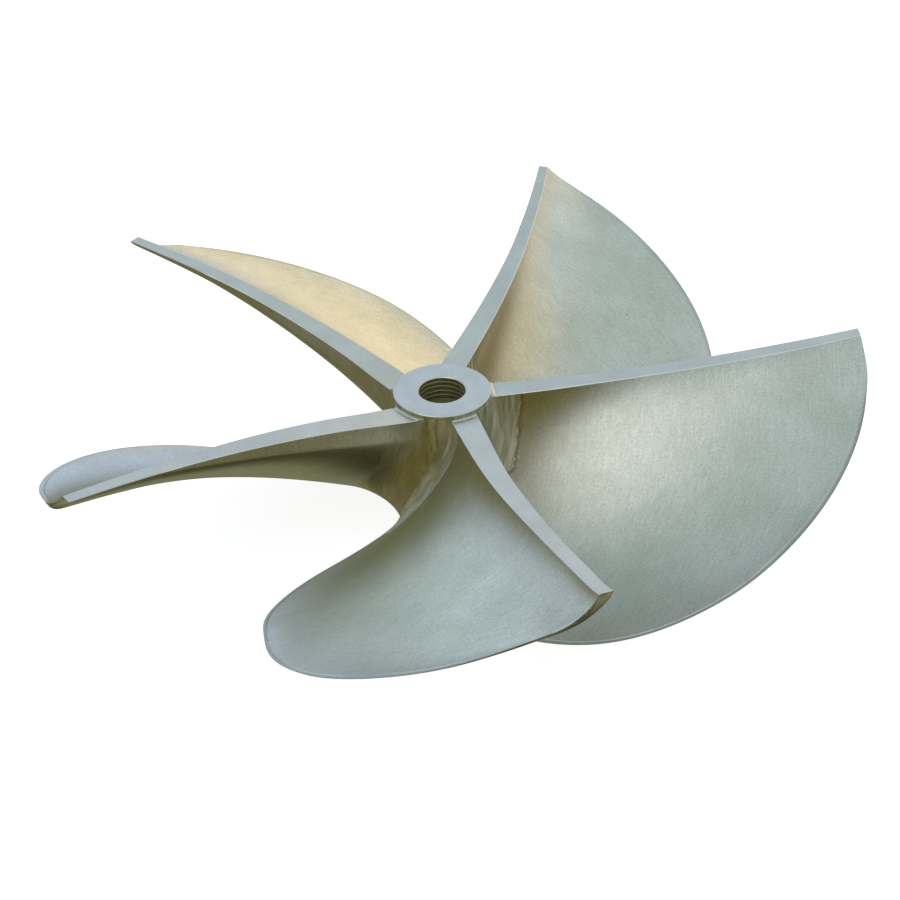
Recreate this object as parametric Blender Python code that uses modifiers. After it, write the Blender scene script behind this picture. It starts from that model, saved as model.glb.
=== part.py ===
"""Five-bladed surface-piercing boat propeller in bare nickel-aluminium bronze.

Metres, +Z up along the shaft axis. It stands on the forward end of its hub, with the aft end up, and the
origin is on the axis at the centre of mass. Seen from above, each blade's thick trailing edge is the edge
that shows as a flat strip, and the blade falls away clockwise from it to the thin leading edge.

The real propeller is one casting, machined and ground all over. Here the hub and each blade are solids of
their own, which follow each other across a hair's gap at the blade roots.
"""
import math

import bmesh
import bpy
import numpy as np

# Driving dimensions, in metres
TIP_RADIUS = 0.400
BLADE_COUNT = 5
AFT_FACE_Z = 0.058

# Hub: a turned barrel with a raised aft ring, bored to a 1 in 12 shaft taper
HUB_LENGTH = 0.178
RING_RADIUS = 0.048
RING_HEIGHT = 0.005
GROOVE_DEPTH = 0.0012
GROOVE_WIDTH = 0.0025
SHOULDER_RADIUS = 0.049
WAIST_RADIUS = 0.0455
EDGE_CHAMFER = 0.001
BORE_RADIUS = 0.0229
BORE_TAPER = 1 / 24
BORE_RING_COUNT = 5
BORE_RING_PITCH = 0.0052
BORE_RING_DEPTH = 0.0012
HUB_SIDES = 48

# Clearance between the hub's solid and a blade's, and the wider groove around the aft ring
ROOT_GAP = 0.0003
RING_CLEARANCE = 0.0018

# Trailing edge: a flat machined strip that lies on a shallow cone and sweeps back in plan
EDGE_DROP = 0.0048
EDGE_RISE = 0.0565
EDGE_SWEEP = -0.0877
EDGE_SWEEP_RETURN = 0.0518
EDGE_WIDTH_ROOT = 0.0269
EDGE_WIDTH_TIP = 0.0116

# Blade outline: chord at even steps of the square root of the distance from the tip
CHORD_STEPS = (0.0, 0.25, 0.5, 0.75, 1.0)
CHORDS = (0.0695, 0.1915, 0.299, 0.2795, 0.1405)
ROOT_CHORD_TRIM = -0.019
RIM_BULGE = 0.0022
RIM_BULGE_LENGTH = 0.024

# Pitch by share of the tip radius, eased off close to the hub
PITCH_STATIONS = (0.2, 0.4, 0.7, 1.0)
PITCHES = (0.709, 0.857, 0.990, 1.046)
ROOT_PITCH_TRIM = -0.105
ROOT_RUNOUT = 0.028

# Section shape, angles in degrees: a hollow face, cupped at the trailing edge, and a wedge behind it
CUP_ANGLE = 31.3
CUP_LENGTH = 0.0195
CAMBER_ANGLE_ROOT = 28.5
CAMBER_ANGLE_TIP = 8.0
WEDGE_POWER = 0.61
LEADING_EDGE_THICKNESS = 0.0024

# Upright band on the back, under the trailing edge, which ends in a crease
BAND_HEIGHT = 0.018
BAND_SPAN = 0.7
BAND_ROOT_HEIGHT = 0.009
LEAST_BAND_SHARE = 0.04

# Root fillets: small and tight on the face, wide on the back, and widest towards the leading edge
FACE_FILLET = 0.006
FACE_FILLET_LENGTH = 0.008
BACK_FILLET_AFT = 0.012
BACK_FILLET_FORWARD = 0.036
BACK_FILLET_LENGTH = 0.016
FILLET_START = 0.015
LEADING_EDGE_WRAP = 0.012

# Mesh of a blade
ROOT_RADIUS = 0.040
SECTION_COUNT = 24
ROOT_CROWDING = 1.6
BAND_PANELS = 3
CHORD_PANELS = 15
SLOPE_STEPS = 160


def clear_scene():
    """Remove whatever objects the file holds."""
    for item in list(bpy.data.objects):
        bpy.data.objects.remove(item, do_unlink=True)


def collection(name):
    """A collection of its own under the scene's."""
    made = bpy.data.collections.new(name)
    bpy.context.scene.collection.children.link(made)
    return made


def bronze(name, color, roughness):
    """Bare nickel-aluminium bronze with its own colour and finish."""
    material = bpy.data.materials.new(name)
    material.use_nodes = True
    shader = material.node_tree.nodes["Principled BSDF"]
    shader.inputs["Base Color"].default_value = (*color, 1.0)
    shader.inputs["Metallic"].default_value = 1.0
    shader.inputs["Roughness"].default_value = roughness
    return material


def turned(name, profile, group):
    """A profile of (radius, height) points, run down its outer side, turned about the shaft axis."""
    mesh = bpy.data.meshes.new(name)
    points = [(radius, 0.0, height) for radius, height in profile]
    count = len(points)
    closed = profile[0][0] > 0.0
    edges = [(i, i + 1) for i in range(count - 1)]
    if closed:
        edges.append((count - 1, 0))
    mesh.from_pydata(points, edges, [])
    piece = bpy.data.objects.new(name, mesh)
    group.objects.link(piece)
    screw = piece.modifiers.new("turned", "SCREW")
    screw.axis = "Z"
    screw.angle = math.tau
    screw.steps = HUB_SIDES
    screw.render_steps = HUB_SIDES
    screw.use_merge_vertices = True
    screw.merge_threshold = 0.00005
    return piece


def hub_outline(clearance, ring_clearance):
    """The hub's outer profile from its aft face down to its forward face, grown by the clearances."""
    groove_z = AFT_FACE_Z - RING_HEIGHT
    shoulder_z = groove_z - GROOVE_WIDTH
    foot_z = AFT_FACE_Z - HUB_LENGTH
    ring = RING_RADIUS + ring_clearance
    groove = RING_RADIUS - GROOVE_DEPTH + ring_clearance
    waist = WAIST_RADIUS + clearance
    return [
        (ring - EDGE_CHAMFER, AFT_FACE_Z + clearance),
        (ring, AFT_FACE_Z - EDGE_CHAMFER),
        (ring, groove_z),
        (groove, groove_z),
        (groove, shoulder_z),
        (SHOULDER_RADIUS + clearance, shoulder_z - EDGE_CHAMFER),
        (waist + 0.6 * (SHOULDER_RADIUS - WAIST_RADIUS), AFT_FACE_Z - 0.35 * HUB_LENGTH),
        (waist, AFT_FACE_Z - 0.8 * HUB_LENGTH),
        (waist, foot_z + 2 * EDGE_CHAMFER),
        (waist - 2 * EDGE_CHAMFER, foot_z - clearance),
    ]


def bore_outline():
    """The bore's wall from the forward face up to the aft face, with the rings near its aft mouth."""
    foot_z = AFT_FACE_Z - HUB_LENGTH

    def wall(height):
        return BORE_RADIUS + (AFT_FACE_Z - height) * BORE_TAPER

    points = [
        (wall(foot_z) + EDGE_CHAMFER, foot_z),
        (wall(foot_z), foot_z + EDGE_CHAMFER),
    ]
    for ring in reversed(range(BORE_RING_COUNT)):
        top = AFT_FACE_Z - (ring + 1) * BORE_RING_PITCH + BORE_RING_PITCH / 2
        half = BORE_RING_PITCH / 4
        points.append((wall(top - half), top - half))
        points.append((wall(top) + BORE_RING_DEPTH, top))
        points.append((wall(top + half), top + half))
    points.append((BORE_RADIUS, AFT_FACE_Z - EDGE_CHAMFER))
    points.append((BORE_RADIUS + EDGE_CHAMFER, AFT_FACE_Z))
    return points


def through(stations, values, place):
    """The smooth curve through the given stations, read at one place (Lagrange's formula)."""
    total = 0.0
    for i, value in enumerate(values):
        weight = 1.0
        for j, station in enumerate(stations):
            if j != i:
                weight *= (place - station) / (stations[i] - station)
        total += weight * value
    return total


def face_line(radius, chord, camber):
    """The pressure face of one section, unrolled: how far it runs across and down, by share of the chord."""
    pitch = through(PITCH_STATIONS, PITCHES, radius / TIP_RADIUS)
    pitch += ROOT_PITCH_TRIM * math.exp(-(radius - RING_RADIUS) / ROOT_RUNOUT)
    pitch_angle = math.atan(pitch / (math.tau * radius))
    shares = np.linspace(0.0, 1.0, SLOPE_STEPS + 1)
    cup = math.radians(CUP_ANGLE) * np.exp(-shares * chord / CUP_LENGTH)
    slopes = pitch_angle + cup + camber * (0.5 - shares)
    middles = (slopes[1:] + slopes[:-1]) / 2
    step = chord / SLOPE_STEPS
    across = np.concatenate(([0.0], np.cumsum(np.cos(middles) * step)))
    down = np.concatenate(([0.0], np.cumsum(np.sin(middles) * step)))
    return shares, slopes, across, down


def panel_edges(band_share):
    """Shares of the chord at which a section has points, with one of them on the back band's crease."""
    band = np.linspace(0.0, band_share, BAND_PANELS + 1)
    rest = np.linspace(band_share, 1.0, CHORD_PANELS + 1)
    return np.concatenate((band, rest[1:]))


def section(radius):
    """One blade section: face points, then back points, each from the trailing edge to the leading edge."""
    span = (radius - RING_RADIUS) / (TIP_RADIUS - RING_RADIUS)
    root = math.exp(-(radius - RING_RADIUS) / ROOT_RUNOUT)
    edge_z = AFT_FACE_Z - EDGE_DROP + EDGE_RISE * span
    edge_width = EDGE_WIDTH_ROOT + (EDGE_WIDTH_TIP - EDGE_WIDTH_ROOT) * span
    sweep = EDGE_SWEEP * span + EDGE_SWEEP_RETURN * span ** 2
    camber = math.radians(CAMBER_ANGLE_ROOT + (CAMBER_ANGLE_TIP - CAMBER_ANGLE_ROOT) * span)
    from_tip = math.sqrt(max(1.0 - radius / TIP_RADIUS, 0.0))
    chord = through(CHORD_STEPS, CHORDS, from_tip) + ROOT_CHORD_TRIM * root
    shares, slopes, across, down = face_line(radius, chord, camber)

    band = BAND_HEIGHT * max(1.0 - span / BAND_SPAN, 0.0) + BAND_ROOT_HEIGHT * root
    crease = np.interp(band, down, shares)
    crease_width = edge_width + np.interp(band, down, across)
    edges = panel_edges(max(crease, LEAST_BAND_SHARE))
    slope = np.interp(edges, shares, slopes)
    face_arc = sweep - edge_width / 2 - np.interp(edges, shares, across)
    face_z = edge_z - np.interp(edges, shares, down)
    wedge = (np.minimum(1.0 - edges, 1.0 - crease) / (1.0 - crease)) ** WEDGE_POWER
    behind = LEADING_EDGE_THICKNESS + (crease_width - LEADING_EDGE_THICKNESS) * wedge
    upright = edge_width + np.interp(edges, shares, across)
    back_arc = face_arc + np.where(edges < crease, upright, behind)

    off_hub = max(radius - WAIST_RADIUS, 0.0)
    grow = 1.0 - np.exp(-edges * chord / FILLET_START)
    wrap = np.exp(-(1.0 - edges) * chord / LEADING_EDGE_WRAP)
    face_fillet = FACE_FILLET * math.exp(-off_hub / FACE_FILLET_LENGTH)
    back_fillet = BACK_FILLET_AFT + (BACK_FILLET_FORWARD - BACK_FILLET_AFT) * edges
    back_fillet = back_fillet * math.exp(-off_hub / BACK_FILLET_LENGTH)
    forward = grow * wrap * (face_fillet + back_fillet) / 2
    face_out = grow * (1.0 - wrap) * face_fillet
    back_out = grow * (1.0 - wrap) * back_fillet
    reach = radius + RIM_BULGE * span ** 4 * (1.0 - np.exp(-edges * chord / RIM_BULGE_LENGTH))

    sides = []
    for arc, out in ((face_arc, -face_out), (back_arc, back_out)):
        angle = (arc + out * np.sin(slope) - forward * np.cos(slope)) / radius
        height = face_z - out * np.cos(slope) - forward * np.sin(slope)
        sides.append(list(zip(reach * np.cos(angle), reach * np.sin(angle), height)))
    return sides


def blade_mesh():
    """A closed skin over the blade's sections, with a trailing-edge strip, a leading edge and two end caps."""
    widest = math.sqrt(1.0 - ROOT_RADIUS / TIP_RADIUS)
    skin = bmesh.new()
    rows = []
    for step in range(SECTION_COUNT):
        from_tip = widest * (1.0 - (step / (SECTION_COUNT - 1)) ** ROOT_CROWDING)
        sides = section(TIP_RADIUS * (1.0 - from_tip ** 2))
        rows.append([[skin.verts.new(point) for point in side] for side in sides])
    for (face, back), (next_face, next_back) in zip(rows, rows[1:]):
        loop = face + back[::-1]
        next_loop = next_face + next_back[::-1]
        for i in range(len(loop)):
            j = (i + 1) % len(loop)
            skin.faces.new((loop[i], loop[j], next_loop[j], next_loop[i]))
    for face, back in (rows[0], rows[-1]):
        for i in range(len(face) - 1):
            skin.faces.new((face[i], face[i + 1], back[i + 1], back[i]))
    bmesh.ops.triangulate(skin, faces=skin.faces[:])
    bmesh.ops.recalc_face_normals(skin, faces=skin.faces[:])
    mesh = bpy.data.meshes.new("blade")
    skin.to_mesh(mesh)
    skin.free()
    for polygon in mesh.polygons:
        polygon.use_smooth = True
    mesh.set_sharp_from_angle(angle=math.radians(30))
    return mesh


def make_hub(group):
    """The turned hub with its ringed taper bore."""
    hub = turned("hub", hub_outline(0.0, 0.0) + bore_outline(), group)
    hub.data.materials.append(bronze("hub_bronze", (0.52, 0.50, 0.40), 0.35))
    return hub


def make_root_cutter(group):
    """The hub's outline grown by the root gap, which trims every blade to the hub."""
    outline = hub_outline(ROOT_GAP, RING_CLEARANCE)
    profile = [(0.0, outline[0][1])] + outline + [(0.0, outline[-1][1])]
    cutter = turned("root_cutter", profile, group)
    cutter.hide_render = True
    cutter.display_type = "WIRE"
    return cutter


def make_blades(group, cutter):
    """Five like blades, each turned to its place and trimmed at the root."""
    mesh = blade_mesh()
    for index in range(BLADE_COUNT):
        blade = bpy.data.objects.new(f"blade_{index + 1}", mesh.copy())
        blade.data.materials.append(bronze(f"blade_{index + 1}_bronze", (0.56, 0.55, 0.44), 0.32))
        blade.rotation_euler = (0.0, 0.0, index * math.tau / BLADE_COUNT)
        group.objects.link(blade)
        trim = blade.modifiers.new("root trim", "BOOLEAN")
        trim.operation = "DIFFERENCE"
        trim.object = cutter


clear_scene()
parts = collection("ship_propeller")
cutters = collection("cutters")
make_hub(parts)
make_blades(parts, make_root_cutter(cutters))
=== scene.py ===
import math

import bpy
import numpy as np
from mathutils import Matrix, Vector


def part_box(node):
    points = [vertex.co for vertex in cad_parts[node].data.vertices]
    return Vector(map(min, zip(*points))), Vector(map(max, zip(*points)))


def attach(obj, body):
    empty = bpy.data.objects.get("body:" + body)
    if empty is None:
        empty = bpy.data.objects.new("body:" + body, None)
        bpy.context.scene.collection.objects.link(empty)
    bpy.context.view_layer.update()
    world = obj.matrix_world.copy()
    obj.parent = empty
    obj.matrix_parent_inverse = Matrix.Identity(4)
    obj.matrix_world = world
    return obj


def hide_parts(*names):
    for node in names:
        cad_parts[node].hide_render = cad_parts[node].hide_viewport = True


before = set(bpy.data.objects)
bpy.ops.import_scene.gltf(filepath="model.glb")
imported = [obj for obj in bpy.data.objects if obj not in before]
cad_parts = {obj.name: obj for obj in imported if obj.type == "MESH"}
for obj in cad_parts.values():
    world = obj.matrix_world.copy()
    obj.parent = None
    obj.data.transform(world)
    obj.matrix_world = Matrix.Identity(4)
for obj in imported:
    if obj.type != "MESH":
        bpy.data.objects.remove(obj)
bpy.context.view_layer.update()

# The photograph's view
# A long lens looks down on the propeller from in front of the gap between the left and the front blade.
# The propeller is turned a little about its shaft, so the camera stands that much off the -Y axis.
LENS_MM = 71.7
SENSOR_MM = 36.0
CAMERA_DISTANCE = 1.749
CAMERA_ELEVATION = math.radians(32.72)
CAMERA_TURN = math.radians(-5.30)
CAMERA_PAN = math.radians(0.788)
CAMERA_TILT = math.radians(-1.718)
CAMERA_ROLL = math.radians(1.644)
FRAME_SHIFT_X = 0.0346
FRAME_SHIFT_Y = -0.0064
VIEW_DEPTH = 100.0

hub_low, hub_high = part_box("hub")
aft_z = hub_high.z
foot_z = hub_low.z

ahead = Vector((0.0, math.cos(CAMERA_ELEVATION), -math.sin(CAMERA_ELEVATION)))
side = Vector((1.0, 0.0, 0.0))
above = side.cross(ahead)
panned_side = math.cos(CAMERA_PAN) * side + math.sin(CAMERA_PAN) * ahead
panned_ahead = math.cos(CAMERA_PAN) * ahead - math.sin(CAMERA_PAN) * side
tilted_above = math.cos(CAMERA_TILT) * above - math.sin(CAMERA_TILT) * panned_ahead
sight = math.sin(CAMERA_TILT) * above + math.cos(CAMERA_TILT) * panned_ahead
rolled_side = math.cos(CAMERA_ROLL) * panned_side - math.sin(CAMERA_ROLL) * tilted_above
rolled_above = math.sin(CAMERA_ROLL) * panned_side + math.cos(CAMERA_ROLL) * tilted_above
stand = Matrix((rolled_side, rolled_above, -sight)).transposed().to_4x4()
stand.translation = -CAMERA_DISTANCE * ahead
stand = Matrix.Translation((0.0, 0.0, aft_z)) @ Matrix.Rotation(CAMERA_TURN, 4, "Z") @ stand

bpy.ops.object.camera_add()
camera = bpy.context.object
camera.name = "photo_camera"
camera.matrix_world = stand
camera.data.sensor_width = SENSOR_MM
camera.data.lens = LENS_MM
camera.data.shift_x = FRAME_SHIFT_X
camera.data.shift_y = FRAME_SHIFT_Y
camera.data.clip_end = VIEW_DEPTH
bpy.context.scene.camera = camera

# Blades
# Five like blades of nickel-aluminium bronze, cast in one with the hub, milled and then ground by hand.
# Each is a hollow-faced wedge: a flat trailing edge on top, a thin rim below, and fillets at the root.
TIP_RADIUS = 0.400
BLADE_COUNT = 5
RING_RADIUS = 0.048
SHOULDER_RADIUS = 0.0478
WAIST_RADIUS = 0.0455
HUB_LENGTH = aft_z - foot_z
TAPER_LENGTH = 0.8 * HUB_LENGTH
TAPER_FADE = 0.03
EDGE_DROP = 0.0048
EDGE_RISE = 0.0565
EDGE_SWEEP = -0.0877
EDGE_SWEEP_RETURN = 0.0518
EDGE_WIDTH_ROOT = 0.0269
EDGE_WIDTH_TIP = 0.0128
EDGE_CHAMFER = 0.0007
LIP_WIDTH = 0.0032
LIP_HEIGHT = 0.0010
LIP_END = 0.0503
LIP_GROOVE = 0.0004
LIP_GROOVE_PLACE = 0.0507
LIP_GROOVE_WIDTH = 0.0009
CHORD_STEPS = (0.0, 0.25, 0.5, 0.75, 1.0)
CHORDS = (0.0695, 0.193, 0.3005, 0.2785, 0.1405)
ROOT_CHORD_TRIM = -0.019
RIM_BULGE = 0.0018
RIM_BULGE_LENGTH = 0.006
TIP_FULLNESS = 0.0030
TIP_FULLNESS_PLACE = 0.036
TIP_FULLNESS_LENGTH = 0.026
PITCH_STATIONS = (0.2, 0.4, 0.7, 1.0)
PITCHES = (0.709, 0.857, 0.990, 1.046)
ROOT_PITCH_TRIM = -0.105
ROOT_RUNOUT = 0.028
CUP_ANGLE = math.radians(31.3)
CUP_LENGTH = 0.0195
CAMBER_ROOT = math.radians(28.5)
CAMBER_TIP = math.radians(8.0)
WEDGE_POWER = 0.61
RIM_THICKNESS = 0.0040
NOSE_FULLNESS = 0.25
FACET_WIDTH = 0.0042
FACET_STEP = 0.0014
FACET_DEPTH = 0.0004
FACET_CHORD_FADE = 0.12
FACET_SPAN_START = 0.2
FACET_SPAN_FADE = 0.25
BAND_HEIGHT = 0.0262
BAND_SPAN = 0.74
FACE_FILLET = 0.011
BACK_FILLET_AFT = 0.010
BACK_FILLET_FORWARD = 0.078
BACK_FILLET_POWER = 1.5
BACK_FILLET_HEIGHT = 0.72
FILLET_START = 0.010
RIM_WRAP = 0.012


def through(stations, values, place):
    """The smooth curve through the given stations, read at one place (Lagrange's formula)."""
    total = 0.0
    for i, value in enumerate(values):
        weight = 1.0
        for j, station in enumerate(stations):
            if j != i:
                weight *= (place - station) / (stations[i] - station)
        total += weight * value
    return total


def ease(value):
    """0 below 0, 1 above 1, and smooth between."""
    value = np.clip(value, 0.0, 1.0)
    return value * value * (3.0 - 2.0 * value)


def hub_radius(height):
    """The barrel's radius at a height: it narrows from the shoulder to a straight waist."""
    share = np.clip((aft_z - height) / TAPER_LENGTH, 0.0, 1.0)
    return SHOULDER_RADIUS + (WAIST_RADIUS - SHOULDER_RADIUS) * share


def chord_at(radius):
    """The blade's width along its section, from the trailing edge to the rim."""
    from_tip = math.sqrt(max(1.0 - radius / TIP_RADIUS, 0.0))
    root = math.exp(-(radius - RING_RADIUS) / ROOT_RUNOUT)
    return through(CHORD_STEPS, CHORDS, from_tip) + ROOT_CHORD_TRIM * root


CUP_COLUMNS = 15
CUP_REACH = 0.022
CUP_CROWDING = 1.5
MIDDLE_COLUMNS = 40
RIM_COLUMNS = 21
RIM_REACH = 0.011
RIM_CROWDING = 1.15


def columns(chord):
    """Distances from the trailing edge at which a section has points, crowded at the cup and at the rim."""
    cup = EDGE_CHAMFER + CUP_REACH * np.linspace(0.0, 1.0, CUP_COLUMNS) ** CUP_CROWDING
    rim = RIM_REACH * np.linspace(1.0, 0.0, RIM_COLUMNS) ** RIM_CROWDING
    middle = np.linspace(cup[-1], chord - rim[0], MIDDLE_COLUMNS)
    return np.concatenate((cup, middle[1:-1], chord - rim))


# The blade's outline, flat out: along the tip from the trailing edge, then along the rim to the root.
OUTLINE_TIP_POINTS = 80
OUTLINE_RIM_POINTS = 400
OUTLINE_INNER_END = 0.93
rim_places = TIP_RADIUS * (1.0 - np.linspace(0.0, OUTLINE_INNER_END, OUTLINE_RIM_POINTS) ** 2)
rim_runs = np.array([chord_at(place) for place in rim_places])
tip_runs = np.linspace(0.0, CHORDS[0], OUTLINE_TIP_POINTS)
outline_runs = np.concatenate((tip_runs, rim_runs))
outline_places = np.concatenate((np.full_like(tip_runs, TIP_RADIUS), rim_places))


def rim_distance(steps, radius):
    """How far the points of one section lie from the blade's outline."""
    return np.hypot(steps[:, None] - outline_runs, radius - outline_places).min(axis=1)


def fillet(radius, gap):
    """How far a round fillet stands off the blade at a distance from the hub's surface."""
    near = np.clip(radius - gap, 0.0, radius)
    return radius - np.sqrt(radius ** 2 - near ** 2)


def lip(place):
    """The lip at the trailing edge's inner end, which slopes up to the hub's ring, and its groove."""
    rise = ease((LIP_END - place) / LIP_WIDTH) * LIP_HEIGHT
    foot = ease(1.0 - np.abs(place - LIP_GROOVE_PLACE) / LIP_GROOVE_WIDTH) * LIP_GROOVE
    return rise - foot


STRIP_COLUMNS = 9
NOSE_COLUMNS = 5
CURVE_STEPS = 2000
LEAN_STEP = 0.0002
mean_hub = 0.5 * (SHOULDER_RADIUS + WAIST_RADIUS)


def blade_row(gap):
    """One section all the way round: up the face from the rim, over the trailing edge and down the back."""
    radius = mean_hub + gap
    span = (radius - RING_RADIUS) / (TIP_RADIUS - RING_RADIUS)
    root = math.exp(-(radius - RING_RADIUS) / ROOT_RUNOUT)
    edge_z = aft_z - EDGE_DROP + EDGE_RISE * span
    edge_width = EDGE_WIDTH_ROOT + (EDGE_WIDTH_TIP - EDGE_WIDTH_ROOT) * span
    sweep = EDGE_SWEEP * span + EDGE_SWEEP_RETURN * span ** 2
    camber = CAMBER_ROOT + (CAMBER_TIP - CAMBER_ROOT) * span
    chord = chord_at(radius)

    pitch = through(PITCH_STATIONS, PITCHES, radius / TIP_RADIUS) + ROOT_PITCH_TRIM * root
    runs = np.linspace(0.0, chord, CURVE_STEPS + 1)
    slopes = math.atan(pitch / (math.tau * radius)) + CUP_ANGLE * np.exp(-runs / CUP_LENGTH)
    slopes += camber * (0.5 - runs / chord)
    middles = (slopes[1:] + slopes[:-1]) / 2
    across = np.concatenate(([0.0], np.cumsum(np.cos(middles)))) * chord / CURVE_STEPS
    down = np.concatenate(([0.0], np.cumsum(np.sin(middles)))) * chord / CURVE_STEPS

    band = BAND_HEIGHT * max(1.0 - span / BAND_SPAN, 0.0)
    crease = np.interp(band, down, runs) / chord
    crease_width = edge_width + np.interp(band, down, across)
    steps = columns(chord)
    share = steps / chord
    slope = np.interp(steps, runs, slopes)
    step_across = np.interp(steps, runs, across)
    step_down = np.interp(steps, runs, down)
    wedge = (np.minimum(1.0 - share, 1.0 - crease) / (1.0 - crease)) ** WEDGE_POWER
    behind = RIM_THICKNESS + (crease_width - RIM_THICKNESS) * wedge
    back_width = np.where(share < crease, edge_width + step_across, behind)

    off_rim = rim_distance(steps, radius)
    facet = FACET_DEPTH * ease((FACET_WIDTH + FACET_STEP - off_rim) / FACET_STEP)
    facet = facet * ease(steps / FACET_CHORD_FADE) * ease((span - FACET_SPAN_START) / FACET_SPAN_FADE)
    grow = 1.0 - np.exp(-steps / FILLET_START)
    wrap = np.exp(-(chord - steps) / RIM_WRAP)
    back_radius = BACK_FILLET_AFT + (BACK_FILLET_FORWARD - BACK_FILLET_AFT) * share ** BACK_FILLET_POWER
    face_out = fillet(FACE_FILLET, gap) * np.ones_like(steps)
    back_out = BACK_FILLET_HEIGHT * fillet(back_radius, gap)
    forward = grow * wrap * (face_out + back_out) / 2
    face_out = grow * (1.0 - wrap) * face_out - facet
    back_out = grow * (1.0 - wrap) * back_out

    face_arc = sweep - edge_width / 2 - step_across - face_out * np.sin(slope) - forward * np.cos(slope)
    face_z = edge_z - step_down + face_out * np.cos(slope) - forward * np.sin(slope)
    back_arc = sweep - edge_width / 2 - step_across + back_width
    back_arc = back_arc + back_out * np.sin(slope) - forward * np.cos(slope)
    back_z = edge_z - step_down - back_out * np.cos(slope) - forward * np.sin(slope)

    strip = np.linspace(EDGE_CHAMFER, edge_width - EDGE_CHAMFER, STRIP_COLUMNS)
    strip_arc = sweep - edge_width / 2 + strip
    strip_z = edge_z + lip(radius * np.cos(strip_arc / radius))

    rim_lean = (chord_at(radius - LEAN_STEP) - chord) / LEAN_STEP
    nose_along = 1.0 / math.hypot(1.0, rim_lean)
    nose_outward = rim_lean / math.hypot(1.0, rim_lean)
    turn = np.linspace(0.0, math.pi, NOSE_COLUMNS + 2)[1:-1]
    nose_share = (1.0 - np.cos(turn)) / 2
    nose_out = NOSE_FULLNESS * RIM_THICKNESS * np.sin(turn) * math.sqrt(max(1.0 - radius / TIP_RADIUS, 0.0))
    nose_arc = face_arc[-1] + (back_arc[-1] - face_arc[-1]) * nose_share
    nose_arc = nose_arc - nose_out * nose_along * np.cos(slope[-1])
    nose_z = face_z[-1] + (back_z[-1] - face_z[-1]) * nose_share
    nose_z = nose_z - nose_out * nose_along * np.sin(slope[-1])

    arc = np.concatenate((face_arc[::-1], strip_arc, back_arc, nose_arc[::-1], face_arc[-1:]))
    height = np.concatenate((face_z[::-1], strip_z, back_z, nose_z[::-1], face_z[-1:]))
    nose_run = np.full_like(nose_arc, chord)
    run = np.concatenate((steps[::-1], np.zeros_like(strip), steps, nose_run, steps[-1:]))
    nose_reach = np.zeros_like(run)
    nose_reach[-1 - NOSE_COLUMNS:-1] = nose_out * nose_outward
    bulge = RIM_BULGE * span ** 4 * (1.0 - np.exp(-run / RIM_BULGE_LENGTH))
    fullness = np.exp(-((run - TIP_FULLNESS_PLACE) / TIP_FULLNESS_LENGTH) ** 2)
    bulge = bulge + TIP_FULLNESS * max(span, 0.0) ** 12 * fullness
    follow = (hub_radius(height) - mean_hub) * math.exp(-max(gap, 0.0) / TAPER_FADE)
    angle = arc / radius
    reach = radius + bulge + follow + nose_reach

    on_face = np.zeros_like(run)
    on_face[:len(steps)] = 1.0
    on_face[-1] = 1.0
    on_strip = np.zeros_like(run)
    on_strip[len(steps):len(steps) + STRIP_COLUMNS] = 1.0
    chordwise = run.copy()
    chordwise[len(steps):len(steps) + STRIP_COLUMNS] = -strip
    off_hub = np.full_like(run, max(gap, 0.0))
    nose_off_rim = np.zeros(NOSE_COLUMNS)
    strip_off_rim = np.full(STRIP_COLUMNS, off_rim[0])
    from_rim = np.concatenate((off_rim[::-1], strip_off_rim, off_rim, nose_off_rim, off_rim[-1:]))
    places = (reach * np.cos(angle), reach * np.sin(angle), height)
    return np.stack((*places, on_face, on_strip, chordwise, reach, off_hub, from_rim), axis=1)


MARKS = ("on_face", "on_strip", "chordwise", "spanwise", "off_hub", "off_rim")
SUNK_ROWS = (-0.004, -0.001)
ROOT_ROWS = 40
SPAN_ROWS = 84
FILLET_REACH = 0.032
root_gaps = FILLET_REACH * np.linspace(0.0, 1.0, ROOT_ROWS) ** 2.0
inner_tip = math.sqrt(1.0 - (mean_hub + FILLET_REACH) / TIP_RADIUS)
span_gaps = TIP_RADIUS * (1.0 - (inner_tip * np.linspace(1.0, 0.0, SPAN_ROWS)) ** 2) - mean_hub
gaps = np.concatenate((SUNK_ROWS, root_gaps, span_gaps[1:]))
skin_rows = np.stack([blade_row(gap) for gap in gaps])
skin_points = skin_rows[..., :3]

row_count, column_count = skin_points.shape[:2]

# A flat grid takes the sections as its rows, and its two ends and its seam are then closed.
SKIN_WELD = 0.000001
SKIN_SMOOTH_ANGLE = math.radians(32)
bpy.ops.object.select_all(action="DESELECT")
bpy.ops.mesh.primitive_grid_add(x_subdivisions=row_count - 1, y_subdivisions=column_count - 1, size=2.0)
blade = bpy.context.object
blade.name = "blade_skin"
grid = np.zeros(len(blade.data.vertices) * 3)
blade.data.vertices.foreach_get("co", grid)
grid = grid.reshape(-1, 3)
row = np.rint((grid[:, 0] + 1.0) / 2.0 * (row_count - 1)).astype(int)
column = np.rint((grid[:, 1] + 1.0) / 2.0 * (column_count - 1)).astype(int)
blade.data.vertices.foreach_set("co", skin_points[row, column].ravel())
for order, name in enumerate(MARKS):
    numbers = blade.data.attributes.new(name, "FLOAT", "POINT")
    numbers.data.foreach_set("value", skin_rows[row, column, 3 + order])
blade.data.update()

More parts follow.
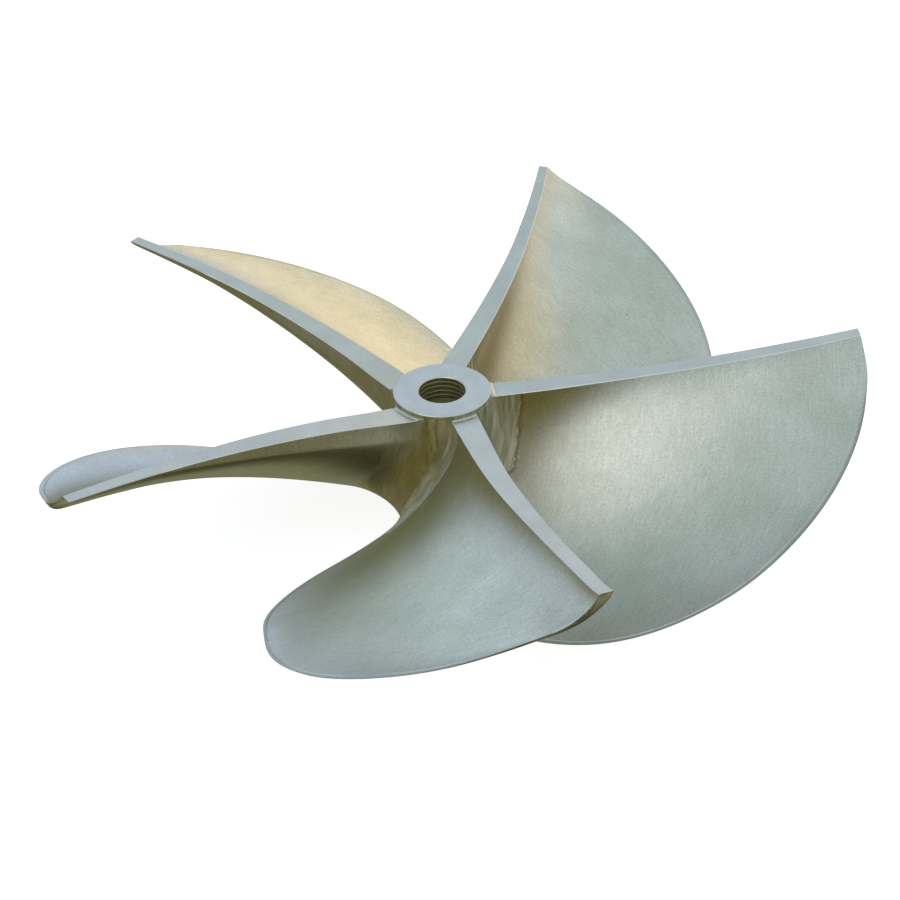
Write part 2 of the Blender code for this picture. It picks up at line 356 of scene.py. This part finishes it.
bpy.ops.object.mode_set(mode="EDIT")
bpy.ops.mesh.select_all(action="SELECT")
bpy.ops.mesh.remove_doubles(threshold=SKIN_WELD)
bpy.ops.mesh.select_all(action="DESELECT")
bpy.ops.mesh.select_mode(type="EDGE")
bpy.ops.mesh.select_non_manifold()
bpy.ops.mesh.edge_face_add()
bpy.ops.mesh.select_all(action="SELECT")
bpy.ops.mesh.normals_make_consistent(inside=False)
bpy.ops.object.mode_set(mode="OBJECT")
bpy.ops.object.shade_smooth_by_angle(angle=SKIN_SMOOTH_ANGLE)

BRONZE = (0.585, 0.572, 0.462, 1.0)
PALE_BRONZE = (0.675, 0.655, 0.545, 1.0)
SCRATCH = (0.37, 0.355, 0.26, 1.0)
BRIGHT_SCRATCH = (0.82, 0.80, 0.68, 1.0)
SAND_SPECK = (0.31, 0.29, 0.19, 1.0)
BRIGHT_SPECK = (0.90, 0.88, 0.76, 1.0)
WHEEL_MARK = (0.44, 0.42, 0.29, 1.0)
BRIGHT_WHEEL_MARK = (0.86, 0.84, 0.67, 1.0)
RIDGE_TONE = (0.26, 0.22, 0.12, 1.0)
RIM_SHADE_TONE = (0.30, 0.29, 0.21, 1.0)
PIT_SHADE_TONE = (0.05, 0.045, 0.03, 1.0)
EDGE_HIGHLIGHT_TONE = (0.97, 0.96, 0.90, 1.0)
TIP_END_SHADE_TONE = (0.10, 0.13, 0.12, 1.0)
BELT_ALONG = 45.0
BELT_ACROSS = 620.0
MILL_ALONG = 30.0
MILL_ACROSS = 900.0
WHEEL_ALONG = 28.0
WHEEL_ACROSS = 300.0
SAND_SCALE = 480.0
CLOUD_SCALE = 16.0
WANDER_SCALE = 55.0
WANDER_WIDTH = 0.018
BLENDED_REACH = 0.0305
PIT_SCALE = 26.0
BUMP_HEIGHT = 0.00007

bronze = bpy.data.materials.new("ground_bronze")
bronze.use_nodes = True
tree = bronze.node_tree


def wire(value, socket):
    """Links a socket's value to a node's input, or writes a plain number or colour into it."""
    if isinstance(value, bpy.types.NodeSocket):
        socket.id_data.links.new(value, socket)
    else:
        socket.default_value = value


def read_mark(tree, name):
    """Reads one of the numbers that the blade's mesh carries at each point."""
    node = tree.nodes.new("ShaderNodeAttribute")
    node.attribute_name = name
    return node.outputs["Fac"]


def sum_up(tree, operation, first, second=0.0, third=0.0):
    """One step of arithmetic."""
    node = tree.nodes.new("ShaderNodeMath")
    node.operation = operation
    for value, socket in zip((first, second, third), node.inputs):
        wire(value, socket)
    return node.outputs["Value"]


def spot(tree, x, y, z):
    """Three numbers as a place in a pattern."""
    node = tree.nodes.new("ShaderNodeCombineXYZ")
    for value, socket in zip((x, y, z), node.inputs):
        wire(value, socket)
    return node.outputs["Vector"]


def noise(tree, vector, scale, detail=2.0, roughness=0.5):
    """A cloudy pattern from 0 to 1, with so many bumps to the unit of its place."""
    node = tree.nodes.new("ShaderNodeTexNoise")
    wire(vector, node.inputs["Vector"])
    node.inputs["Scale"].default_value = scale
    node.inputs["Detail"].default_value = detail
    node.inputs["Roughness"].default_value = roughness
    return node.outputs["Fac"]


def step(tree, value, start, stop, low=0.0, high=1.0):
    """Goes smoothly from one level to another while the value goes from start to stop."""
    node = tree.nodes.new("ShaderNodeMapRange")
    node.interpolation_type = "SMOOTHSTEP"
    wire(value, node.inputs["Value"])
    node.inputs["From Min"].default_value = start
    node.inputs["From Max"].default_value = stop
    node.inputs["To Min"].default_value = low
    node.inputs["To Max"].default_value = high
    return node.outputs["Result"]


def blend(tree, factor, first, second, kind="MIX"):
    """Mixes two colours."""
    node = tree.nodes.new("ShaderNodeMix")
    node.data_type = "RGBA"
    node.blend_type = kind
    wire(factor, node.inputs[0])
    wire(first, node.inputs[6])
    wire(second, node.inputs[7])
    return node.outputs[2]


on_face = read_mark(tree, "on_face")
on_strip = read_mark(tree, "on_strip")
chordwise = read_mark(tree, "chordwise")
spanwise = read_mark(tree, "spanwise")
off_hub = read_mark(tree, "off_hub")
off_rim = read_mark(tree, "off_rim")
where = tree.nodes.new("ShaderNodeTexCoord").outputs["Object"]

# Belt marks run along the chord, and along the radius on the milled trailing edge.
belt_along = sum_up(tree, "MULTIPLY", chordwise, BELT_ALONG)
belt_across = sum_up(tree, "MULTIPLY", spanwise, BELT_ACROSS)
belt_place = spot(tree, belt_along, belt_across, on_face)
belt = noise(tree, belt_place, 1.0, 2.0, 0.65)
mill_across = sum_up(tree, "MULTIPLY", chordwise, MILL_ACROSS)
mill_along = sum_up(tree, "MULTIPLY", spanwise, MILL_ALONG)
mill_place = spot(tree, mill_across, mill_along, 0.0)
mill = noise(tree, mill_place, 1.0, 2.0)
mill = sum_up(tree, "MULTIPLY_ADD", mill, 0.5, 0.25)
lines = sum_up(tree, "ADD", belt, sum_up(tree, "MULTIPLY", on_strip, sum_up(tree, "SUBTRACT", mill, belt)))
sand = noise(tree, where, SAND_SCALE, 2.0, 0.75)
even = sum_up(tree, "SUBTRACT", 0.48, sand)
sand = sum_up(tree, "ADD", sand, sum_up(tree, "MULTIPLY", sum_up(tree, "MULTIPLY", on_strip, 0.65), even))
cloud = noise(tree, where, CLOUD_SCALE, 3.0, 0.6)

# The root was blended to the hub by hand with a small wheel, whose marks run along the root.
# It is duller than the rest, and on the face it ends in a low ragged ridge.
wheel_along = sum_up(tree, "MULTIPLY", chordwise, WHEEL_ALONG)
wheel_across = sum_up(tree, "MULTIPLY", off_hub, WHEEL_ACROSS)
wheel_place = spot(tree, wheel_along, wheel_across, on_face)
wheel = noise(tree, wheel_place, 1.0, 3.0, 0.65)
wander = noise(tree, where, WANDER_SCALE, 3.0, 0.6)
ragged = sum_up(tree, "SUBTRACT", off_hub, WANDER_WIDTH / 2)
ragged = sum_up(tree, "MULTIPLY_ADD", wander, WANDER_WIDTH, ragged)
off_strip = sum_up(tree, "SUBTRACT", 1.0, on_strip)
by_hand = step(tree, ragged, BLENDED_REACH + 0.0010, BLENDED_REACH - 0.0010)
by_hand = sum_up(tree, "MULTIPLY", by_hand, off_strip)
by_hand = sum_up(tree, "MULTIPLY", by_hand, sum_up(tree, "MULTIPLY_ADD", on_face, 0.6, 0.4))
dull = step(tree, ragged, BLENDED_REACH, BLENDED_REACH - 0.0040)
dull = sum_up(tree, "MULTIPLY", dull, off_strip)
dull = sum_up(tree, "MULTIPLY", dull, sum_up(tree, "MULTIPLY_ADD", on_face, 0.5, 0.5))
ridge = step(tree, ragged, BLENDED_REACH + 0.0030, BLENDED_REACH)
ridge = sum_up(tree, "MULTIPLY", ridge, step(tree, ragged, BLENDED_REACH - 0.0025, BLENDED_REACH))
ridge = sum_up(tree, "MULTIPLY", ridge, sum_up(tree, "MULTIPLY", off_strip, on_face))

# The blade's end and the thin nose of its rim are painted darker as painted shade, and the trailing edge's
# corners are painted bright as a painted highlight.
end = sum_up(tree, "MULTIPLY", step(tree, off_rim, 0.0003, 0.0001), off_strip)
corner = sum_up(tree, "MULTIPLY", step(tree, on_strip, 0.05, 0.25), step(tree, on_strip, 0.95, 0.75))

# A few small casting pits are left open, with painted shade inside them.
pits = tree.nodes.new("ShaderNodeTexVoronoi")
pits.inputs["Scale"].default_value = PIT_SCALE
tree.links.new(where, pits.inputs["Vector"])
pick = tree.nodes.new("ShaderNodeSeparateColor")
tree.links.new(pits.outputs["Color"], pick.inputs["Color"])
pit = step(tree, pits.outputs["Distance"], 0.026, 0.014)
pit = sum_up(tree, "MULTIPLY", pit, step(tree, pick.outputs["Red"], 0.5, 0.55))

# The bottom of the rim is a little darker: painted shade along the rim.
rim_shade = sum_up(tree, "MULTIPLY", step(tree, off_rim, 0.0060, 0.0040), step(tree, chordwise, 0.06, 0.16))

tone = blend(tree, step(tree, cloud, 0.3, 0.7), BRONZE, PALE_BRONZE)
tone = blend(tree, step(tree, lines, 0.30, 0.70, 0.22, 0.0), tone, SCRATCH)
tone = blend(tree, step(tree, lines, 0.55, 0.80, 0.0, 0.25), tone, BRIGHT_SCRATCH)
tone = blend(tree, step(tree, sand, 0.25, 0.60, 0.34, 0.0), tone, SAND_SPECK)
tone = blend(tree, step(tree, sand, 0.55, 0.80, 0.0, 0.30), tone, BRIGHT_SPECK)
worn = blend(tree, step(tree, wheel, 0.35, 0.68), WHEEL_MARK, BRIGHT_WHEEL_MARK)
tone = blend(tree, sum_up(tree, "MULTIPLY", by_hand, 0.75), tone, worn)
tone = blend(tree, sum_up(tree, "MULTIPLY", ridge, 0.55), tone, RIDGE_TONE)
# Painted shade: the band along the bottom of the rim is toned darker.
tone = blend(tree, sum_up(tree, "MULTIPLY", rim_shade, 0.30), tone, RIM_SHADE_TONE)
# Painted shade: the pits are toned nearly black.
tone = blend(tree, sum_up(tree, "MULTIPLY", pit, 0.85), tone, PIT_SHADE_TONE)
# Painted highlight: the trailing edge's corners are toned pale.
tone = blend(tree, sum_up(tree, "MULTIPLY", corner, 0.55), tone, EDGE_HIGHLIGHT_TONE)
# Painted shade: the blade's end and the thin nose of its rim are toned dark.
tone = blend(tree, sum_up(tree, "MULTIPLY", end, 0.65), tone, TIP_END_SHADE_TONE)

height = sum_up(tree, "MULTIPLY", lines, 0.40)
height = sum_up(tree, "MULTIPLY_ADD", sand, 0.60, height)
height = sum_up(tree, "MULTIPLY_ADD", sum_up(tree, "MULTIPLY", by_hand, wheel), 1.2, height)
height = sum_up(tree, "MULTIPLY_ADD", ridge, 2.0, height)
height = sum_up(tree, "MULTIPLY_ADD", pit, -4.0, height)
bump = tree.nodes.new("ShaderNodeBump")
bump.inputs["Strength"].default_value = 1.0
bump.inputs["Distance"].default_value = BUMP_HEIGHT
tree.links.new(height, bump.inputs["Height"])

shader = tree.nodes["Principled BSDF"]
shader.inputs["Metallic"].default_value = 1.0
wire(tone, shader.inputs["Base Color"])
rough = sum_up(tree, "MULTIPLY_ADD", dull, 0.24, step(tree, lines, 0.2, 0.8, 0.35, 0.29))
wire(sum_up(tree, "MULTIPLY_ADD", corner, 0.20, rough), shader.inputs["Roughness"])
wire(bump.outputs["Normal"], shader.inputs["Normal"])
blade.data.materials.append(bronze)

# The rims were finished by hand, so each blade's differs a little: radius, length and what was left on.
TRIM_REACH = 0.040
HAND_TRIMS = {
    1: ((0.345, 0.018, 0.0010), (0.235, 0.045, -0.0022)),
    2: ((0.388, 0.022, -0.0020), (0.350, 0.020, -0.0008)),
    3: ((0.335, 0.030, 0.0030),),
    4: ((0.380, 0.020, -0.0007),),
    5: ((0.400, 0.006, -0.0012), (0.355, 0.015, 0.0012), (0.283, 0.036, -0.0080), (0.150, 0.060, 0.0055)),
}

# The trailing edges too: radius, length, and how far the face side's and the back side's corner stand out.
EDGE_TRIM_REACH = 0.016
EDGE_TRIMS = {
    1: ((0.170, 0.125, -0.0050, 0.0), (0.290, 0.120, -0.0010, 0.0022)),
    2: ((0.300, 0.160, -0.0026, 0.0), (0.110, 0.080, -0.0014, 0.0003), (0.240, 0.060, 0.0, -0.0009)),
    3: ((0.280, 0.120, 0.0017, 0.0), (0.250, 0.110, 0.0, -0.0038), (0.050, 0.046, 0.0, 0.0048)),
    4: ((0.180, 0.090, 0.0024, -0.0002), (0.080, 0.030, -0.0016, 0.0), (0.045, 0.052, 0.0, 0.0070),
        (0.250, 0.110, 0.0, -0.0020)),
    5: ((0.090, 0.065, -0.0019, 0.0031), (0.240, 0.100, -0.0017, 0.0012), (0.387, 0.020, 0.0011, -0.0012),
        (0.300, 0.080, -0.0020, -0.0002), (0.140, 0.090, -0.0012, -0.0004)),
}
RIM_LINE_COLUMN = -4
MID_FACE_COLUMN = 12
rim_line = skin_points[len(SUNK_ROWS):, RIM_LINE_COLUMN]
rim_along = np.gradient(rim_line, axis=0)
rim_along /= np.linalg.norm(rim_along, axis=1)[:, None]
rim_radial = rim_line * (1.0, 1.0, 0.0)
rim_radial /= np.linalg.norm(rim_radial, axis=1)[:, None]
rim_chordwise = rim_line - skin_points[len(SUNK_ROWS):, MID_FACE_COLUMN]
rim_chordwise /= np.linalg.norm(rim_chordwise, axis=1)[:, None]
rim_outward = rim_radial + rim_chordwise
rim_outward -= (rim_outward * rim_along).sum(axis=1)[:, None] * rim_along
rim_outward /= np.linalg.norm(rim_outward, axis=1)[:, None]
rim_radii = np.hypot(rim_line[:, 0], rim_line[:, 1])


def trim_rim(mesh, trims):
    """Moves the points near the rim outwards or inwards in the blade's own surface."""
    places = np.zeros(len(mesh.vertices) * 3)
    mesh.vertices.foreach_get("co", places)
    places = places.reshape(-1, 3)
    spacing = np.linalg.norm(places[:, None] - rim_line[None], axis=2)
    nearest = spacing.argmin(axis=1)
    fade = np.clip(1.0 - spacing.min(axis=1) / TRIM_REACH, 0.0, 1.0) ** 2
    amount = np.zeros(len(rim_line))
    for radius, length, depth in trims:
        amount += depth * np.exp(-((rim_radii - radius) / length) ** 2)
    places += (fade * amount[nearest])[:, None] * rim_outward[nearest]
    mesh.vertices.foreach_set("co", places.ravel())


def trim_edge(mesh, trims):
    """Moves the two corners of the trailing edge about the shaft, and what lies beside them less and less."""
    count = len(mesh.vertices)
    places = np.zeros(count * 3)
    mesh.vertices.foreach_get("co", places)
    places = places.reshape(-1, 3)
    carried = {}
    for name in ("on_face", "on_strip", "chordwise"):
        carried[name] = np.zeros(count)
        mesh.attributes[name].data.foreach_get("value", carried[name])
    radii = np.hypot(places[:, 0], places[:, 1])
    face = np.zeros(count)
    back = np.zeros(count)
    for radius, length, face_amount, back_amount in trims:
        near = np.exp(-((radii - radius) / length) ** 2)
        face += face_amount * near
        back += back_amount * near
    span = (radii - RING_RADIUS) / (TIP_RADIUS - RING_RADIUS)
    width = EDGE_WIDTH_ROOT + (EDGE_WIDTH_TIP - EDGE_WIDTH_ROOT) * span
    across = np.clip(-carried["chordwise"] / width, 0.0, 1.0)
    fade = np.exp(-np.maximum(carried["chordwise"], 0.0) / EDGE_TRIM_REACH)
    beside = np.where(carried["on_face"] > 0.5, -face, back) * fade
    amount = np.where(carried["on_strip"] > 0.5, across * back - (1.0 - across) * face, beside)
    angles = np.arctan2(places[:, 1], places[:, 0]) + amount / radii
    places[:, 0] = radii * np.cos(angles)
    places[:, 1] = radii * np.sin(angles)
    mesh.vertices.foreach_set("co", places.ravel())


blades = [blade]
for index in range(1, BLADE_COUNT):
    bpy.ops.object.select_all(action="DESELECT")
    blade.select_set(True)
    bpy.context.view_layer.objects.active = blade
    bpy.ops.object.duplicate(linked=False)
    blades.append(bpy.context.object)
for index, piece in enumerate(blades):
    piece.name = f"ground_blade_{index + 1}"
    trim_rim(piece.data, HAND_TRIMS[index + 1])
    trim_edge(piece.data, EDGE_TRIMS[index + 1])
    piece.data.transform(Matrix.Rotation(index * math.tau / BLADE_COUNT, 4, "Z"))
    piece.data.update()
    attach(piece, "root")
    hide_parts(f"blade_{index + 1}")

# In the photo the left and the front blade don't mirror each other, so no piece mirrors them here.
for piece in blades[3:]:
    piece.visible_glossy = False

# Hub
# The turned middle of the casting: a tapered barrel with a flat raised ring on its aft end.
# It is bored to the shaft's 1 in 12 taper, with a few shallow turned rings inside the aft mouth.
HUB_SIDES = 180
RING_HEIGHT = 0.0042
RING_CHAMFER = 0.0005
GROOVE_RADIUS = 0.0468
GROOVE_HEIGHT = 0.0012
GROOVE_FLARE_RADIUS = 0.0475
GROOVE_FLARE_HEIGHT = 0.0004
TAPER_START = 0.08
FOOT_CHAMFER = 0.002
BORE_RADIUS = 0.0229
BORE_TAPER = 1 / 24
BORE_CHAMFER = 0.0009
BORE_RING_COUNT = 5
BORE_RING_PITCH = 0.0052
BORE_RING_START = 0.8
BORE_RING_HALF = 0.28 * BORE_RING_PITCH
BORE_RING_DEPTH = 0.0003
HUB_WELD = 0.00001
HUB_SMOOTH_ANGLE = math.radians(25)

hub_profile = [
    (BORE_RADIUS + BORE_CHAMFER, aft_z),
    (RING_RADIUS - RING_CHAMFER, aft_z),
    (RING_RADIUS, aft_z - RING_CHAMFER),
    (RING_RADIUS, aft_z - RING_HEIGHT),
    (GROOVE_RADIUS, aft_z - RING_HEIGHT),
    (GROOVE_RADIUS, aft_z - RING_HEIGHT - GROOVE_HEIGHT),
    (GROOVE_FLARE_RADIUS, aft_z - RING_HEIGHT - GROOVE_HEIGHT - GROOVE_FLARE_HEIGHT),
]
for drop in np.linspace(TAPER_START * HUB_LENGTH, TAPER_LENGTH, 8):
    hub_profile.append((float(hub_radius(aft_z - drop)), aft_z - drop))
hub_profile.append((WAIST_RADIUS, foot_z + FOOT_CHAMFER))
hub_profile.append((WAIST_RADIUS - FOOT_CHAMFER, foot_z))


def bore_wall(height):
    """The bore's radius at a height."""
    return BORE_RADIUS + (aft_z - height) * BORE_TAPER


hub_profile.append((bore_wall(foot_z) + BORE_CHAMFER, foot_z))
hub_profile.append((bore_wall(foot_z), foot_z + BORE_CHAMFER))
for ring in reversed(range(BORE_RING_COUNT)):
    middle = aft_z - (ring + BORE_RING_START) * BORE_RING_PITCH
    hub_profile.append((bore_wall(middle), middle - BORE_RING_HALF))
    hub_profile.append((bore_wall(middle) + BORE_RING_DEPTH, middle - 0.5 * BORE_RING_HALF))
    hub_profile.append((bore_wall(middle) + BORE_RING_DEPTH, middle + 0.5 * BORE_RING_HALF))
    hub_profile.append((bore_wall(middle), middle + BORE_RING_HALF))
hub_profile.append((BORE_RADIUS, aft_z - BORE_CHAMFER))

bpy.ops.object.select_all(action="DESELECT")
bpy.ops.mesh.primitive_circle_add(vertices=HUB_SIDES, radius=hub_profile[0][0], location=(0, 0, 0))
hub = bpy.context.object
hub.name = "turned_hub"
bpy.ops.object.mode_set(mode="EDIT")
bpy.ops.mesh.select_all(action="SELECT")
bpy.ops.transform.translate(value=(0.0, 0.0, hub_profile[0][1]))
for (radius, height), (next_radius, next_height) in zip(hub_profile, hub_profile[1:] + hub_profile[:1]):
    bpy.ops.mesh.extrude_edges_move()
    scale = next_radius / radius
    bpy.ops.transform.resize(value=(scale, scale, 1.0), center_override=(0.0, 0.0, height))
    bpy.ops.transform.translate(value=(0.0, 0.0, next_height - height))
bpy.ops.mesh.select_all(action="SELECT")
bpy.ops.mesh.remove_doubles(threshold=HUB_WELD)
bpy.ops.mesh.normals_make_consistent(inside=False)
bpy.ops.object.mode_set(mode="OBJECT")
bpy.ops.object.shade_smooth_by_angle(angle=HUB_SMOOTH_ANGLE)

TURNED = (0.59, 0.58, 0.485, 1.0)
PALE_TURNED = (0.66, 0.65, 0.555, 1.0)
LATHE_MARK = (0.38, 0.37, 0.29, 1.0)
GRAIN_SPECK = (0.35, 0.33, 0.24, 1.0)
BARREL_MARK = (0.42, 0.41, 0.33, 1.0)
BRIGHT_BARREL_MARK = (0.86, 0.85, 0.70, 1.0)
BORE_TONE = (0.66, 0.60, 0.36, 1.0)
BORE_LIMIT = 0.0300
LATHE_ACROSS = 2200.0
LATHE_ALONG = 900.0
GRAIN_SCALE = 700.0
HUB_CLOUD_SCALE = 40.0
BARREL_WHEEL_SCALE = (260.0, 260.0, 32.0)
HUB_BUMP_HEIGHT = 0.00006

turned = bpy.data.materials.new("turned_bronze")
turned.use_nodes = True
tree = turned.node_tree
where = tree.nodes.new("ShaderNodeTexCoord").outputs["Object"]
parts = tree.nodes.new("ShaderNodeSeparateXYZ")
tree.links.new(where, parts.inputs["Vector"])
off_axis = sum_up(tree, "SQRT", sum_up(tree, "ADD", sum_up(tree, "POWER", parts.outputs["X"], 2.0),
                                       sum_up(tree, "POWER", parts.outputs["Y"], 2.0)))
on_top = step(tree, parts.outputs["Z"], aft_z - 0.0012, aft_z - 0.0004)
below_top = sum_up(tree, "SUBTRACT", 1.0, on_top)
in_bore = sum_up(tree, "MULTIPLY", step(tree, off_axis, BORE_LIMIT, BORE_LIMIT - 0.0010), below_top)
outside = sum_up(tree, "MULTIPLY", step(tree, off_axis, BORE_LIMIT, BORE_LIMIT + 0.0010), below_top)
lathe_across = sum_up(tree, "MULTIPLY", off_axis, LATHE_ACROSS)
lathe_along = sum_up(tree, "MULTIPLY", parts.outputs["Z"], LATHE_ALONG)
lathe_place = spot(tree, lathe_across, lathe_along, 0.0)
lathe = noise(tree, lathe_place, 1.0, 2.0)
grain = noise(tree, where, GRAIN_SCALE, 2.0, 0.7)
cloud = noise(tree, where, HUB_CLOUD_SCALE, 3.0)

# The barrel was ground along the shaft between the blades after turning.
wheel_place = tree.nodes.new("ShaderNodeMapping")
wheel_place.inputs["Scale"].default_value = BARREL_WHEEL_SCALE
tree.links.new(where, wheel_place.inputs["Vector"])
wheel = noise(tree, wheel_place.outputs["Vector"], 1.0, 4.0, 0.65)

tone = blend(tree, step(tree, cloud, 0.3, 0.7), TURNED, PALE_TURNED)
tone = blend(tree, step(tree, lathe, 0.3, 0.7, 0.14, 0.0), tone, LATHE_MARK)
tone = blend(tree, step(tree, grain, 0.3, 0.6, 0.16, 0.0), tone, GRAIN_SPECK)
worn = blend(tree, step(tree, wheel, 0.38, 0.62), BARREL_MARK, BRIGHT_BARREL_MARK)
tone = blend(tree, sum_up(tree, "MULTIPLY", outside, 0.85), tone, worn)
tone = blend(tree, sum_up(tree, "MULTIPLY", in_bore, 0.80), tone, BORE_TONE)

height = sum_up(tree, "MULTIPLY", lathe, 0.5)
height = sum_up(tree, "MULTIPLY_ADD", grain, 0.4, height)
height = sum_up(tree, "MULTIPLY_ADD", sum_up(tree, "MULTIPLY", outside, wheel), 1.2, height)
bump = tree.nodes.new("ShaderNodeBump")
bump.inputs["Strength"].default_value = 1.0
bump.inputs["Distance"].default_value = HUB_BUMP_HEIGHT
tree.links.new(height, bump.inputs["Height"])

shader = tree.nodes["Principled BSDF"]
shader.inputs["Metallic"].default_value = 1.0
wire(tone, shader.inputs["Base Color"])
rough = sum_up(tree, "MULTIPLY_ADD", outside, 0.20, step(tree, in_bore, 0.0, 1.0, 0.30, 0.45))
wire(rough, shader.inputs["Roughness"])
wire(bump.outputs["Normal"], shader.inputs["Normal"])
hub.data.materials.append(turned)
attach(hub, "root")
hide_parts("hub")

# Floor
# A plain pale studio floor, which the propeller stands on with the forward end of its hub.
# A pale wall goes all round it, far off, as a backdrop for the views from low down.
FLOOR_SIZE = 40.0
WALL_HEIGHT = 20.0
FLOOR_PAINT = (0.6, 0.6, 0.6, 1.0)
FLOOR_GLOW = 0.85

bpy.ops.object.select_all(action="DESELECT")
bpy.ops.mesh.primitive_plane_add(size=FLOOR_SIZE, location=(0.0, 0.0, foot_z))
floor = bpy.context.object
floor.name = "studio_floor"
bpy.ops.object.mode_set(mode="EDIT")
bpy.ops.mesh.select_all(action="SELECT")
bpy.ops.mesh.extrude_region_move(TRANSFORM_OT_translate={"value": (0.0, 0.0, WALL_HEIGHT)})
bpy.ops.mesh.delete(type="ONLY_FACE")
bpy.ops.object.mode_set(mode="OBJECT")
paint = bpy.data.materials.new("floor_paint")
paint.use_nodes = True
shader = paint.node_tree.nodes["Principled BSDF"]
shader.inputs["Base Color"].default_value = FLOOR_PAINT
shader.inputs["Roughness"].default_value = 0.9
shader.inputs["Emission Color"].default_value = (1.0, 1.0, 1.0, 1.0)
shader.inputs["Emission Strength"].default_value = FLOOR_GLOW
floor.data.materials.append(paint)
floor.visible_glossy = False
floor.visible_diffuse = False
floor.visible_shadow = False

# Light
# Soft daylight all round the propeller: a pale blue ceiling, bright windows and warm walls over dark ground.
# Each panel lies over the ones before it. Its numbers are its place, its inner and its outer edge in degrees.
world = bpy.data.worlds.new("studio")
bpy.context.scene.world = world
world.use_nodes = True
nodes = world.node_tree.nodes
links = world.node_tree.links
direction = nodes.new("ShaderNodeTexCoord").outputs["Generated"]


def heading(azimuth, elevation):
    """The unit vector at an azimuth, clockwise from +Y, and an elevation, both in degrees."""
    turned_by, raised_by = math.radians(azimuth), math.radians(elevation)
    level = math.cos(raised_by)
    return (level * math.sin(turned_by), level * math.cos(turned_by), math.sin(raised_by))


def panel(before, azimuth, elevation, inner, outer, color):
    """Lays a round, soft-edged patch of light over what is there, full at one angle and gone at another."""
    dot = nodes.new("ShaderNodeVectorMath")
    dot.operation = "DOT_PRODUCT"
    dot.inputs[1].default_value = heading(azimuth, elevation)
    links.new(direction, dot.inputs[0])
    mask = nodes.new("ShaderNodeMapRange")
    mask.interpolation_type = "SMOOTHSTEP"
    mask.inputs["From Min"].default_value = math.cos(math.radians(outer))
    mask.inputs["From Max"].default_value = math.cos(math.radians(inner))
    links.new(dot.outputs["Value"], mask.inputs["Value"])
    mix = nodes.new("ShaderNodeMix")
    mix.data_type = "RGBA"
    links.new(mask.outputs["Result"], mix.inputs["Factor"])
    if isinstance(before, tuple):
        mix.inputs[6].default_value = (*before, 1.0)
    else:
        links.new(before, mix.inputs[6])
    mix.inputs[7].default_value = (*color, 1.0)
    return mix.outputs[2]


GROUND = (0.21, 0.20, 0.11)
SHADE = (0.015, 0.012, 0.0)
CEILING = (0.62, 0.77, 0.89)
WINDOW = (1.19, 1.29, 1.41)
FAR_WINDOW = (0.67, 0.82, 1.10)
PALE_WALL = (0.99, 0.97, 0.92)
SUNLIT_WALL = (1.42, 1.24, 0.94)
WARM_WALL = (1.00, 0.91, 0.72)
BROWN_FLOOR = (0.24, 0.18, 0.06)
HEDGE = (0.16, 0.13, 0.03)
LOW_WALL = (0.12, 0.12, 0.01)
PALE_GROUND = (0.30, 0.30, 0.25)
COOL_WALL = (0.74, 0.96, 1.25)
TREE = (0.35, 0.46, 0.52)
SHED = (0.12, 0.10, 0.03)
LIT_WALL = (0.85, 1.12, 1.33)
PALE_PATH = (0.34, 0.36, 0.22)
POOL = (0.68, 0.86, 1.22)
light = panel(GROUND, -27, -85, 8, 28, SHADE)
light = panel(light, 0, 90, 64, 86, CEILING)
light = panel(light, -131, 44, 14, 34, WINDOW)
light = panel(light, -12, 20, 24, 44, FAR_WINDOW)
light = panel(light, 55, 4, 8, 24, PALE_WALL)
light = panel(light, 56, 29, 5, 15, COOL_WALL)
light = panel(light, 26, 9, 8, 21, SUNLIT_WALL)
light = panel(light, 36, 24, 6, 17, SUNLIT_WALL)
light = panel(light, 84, 21, 6, 22, WARM_WALL)
light = panel(light, 86, -14, 10, 34, BROWN_FLOOR)
light = panel(light, -140, -15, 41, 53, HEDGE)
light = panel(light, -22, -16, 12, 22, LOW_WALL)
light = panel(light, -88, -16, 8, 20, PALE_GROUND)
light = panel(light, -58, 45, 5, 21, TREE)
light = panel(light, -118, 24, 5, 16, SHED)
light = panel(light, -99, 37, 3, 11, SHED)
light = panel(light, -33, 38, 4, 12, SHED)
light = panel(light, -25, 8, 4, 14, LIT_WALL)
light = panel(light, 7, -54, 5, 14, PALE_PATH)
light = panel(light, -1, -12, 2, 8, POOL)
links.new(light, nodes["Background"].inputs["Color"])

bpy.context.scene.view_settings.view_transform = "Standard"
